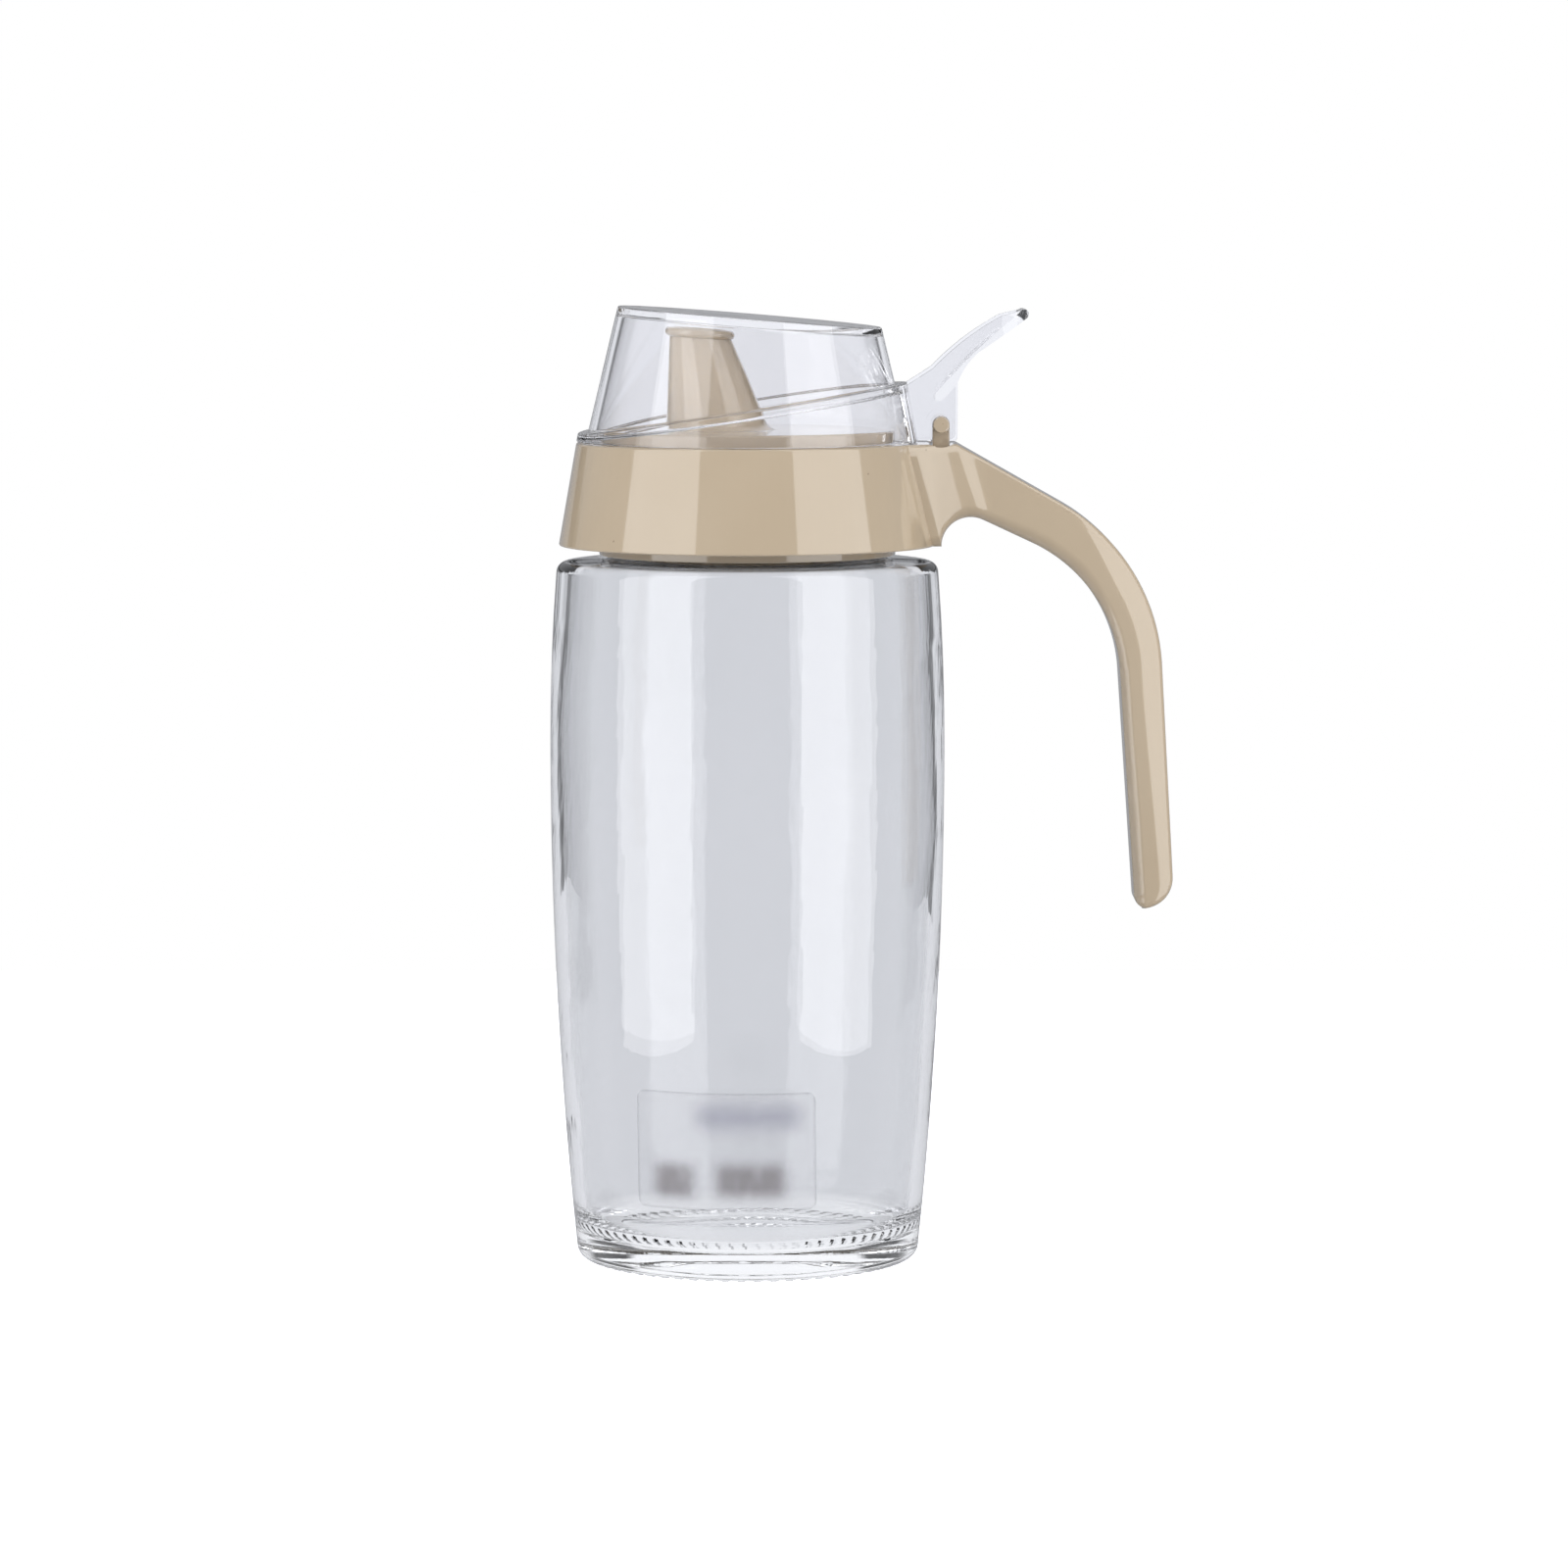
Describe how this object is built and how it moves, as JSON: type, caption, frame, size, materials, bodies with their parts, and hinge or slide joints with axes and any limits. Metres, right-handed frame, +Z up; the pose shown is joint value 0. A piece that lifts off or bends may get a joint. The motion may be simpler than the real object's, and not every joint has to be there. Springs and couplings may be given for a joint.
{
  "type": "oil bottle",
  "caption": "Clear glass oil bottle with a beige pouring collar and open-ended handle, a slanted spout inside a clear flip lid with a thumb tab, and a small blank film label.",
  "frame": {"origin": "centre of the ring that the bottle stands on, in the table's plane", "axes": "+Z up along the bottle's axis, +X towards the handle and the hinge, the spout leans to -X; the label faces -Y"},
  "size_m": [0.1262, 0.0804, 0.1944],
  "materials": {
    "glass": "clear pressed glass, smooth outside, faintly wavy inside",
    "beige_moulding": "glossy moulded plastic in warm beige",
    "clear_moulding": "clear moulded plastic, polished",
    "label_film": "thin translucent film with soft grey fields, no print"
  },
  "bodies": {
    "vessel": {"bottle": "glass", "collar": "beige_moulding", "spout": "beige_moulding", "label": "label_film"},
    "flip_lid": {"lid": "clear_moulding"}
  },
  "joints": [
    {"name": "lid_hinge", "type": "hinge", "parent": "vessel", "child": "flip_lid", "pos_m": [0.03915, 0, 0.1707], "axis": [0, 1, 0], "range_deg": [0, 80]}
  ]
}
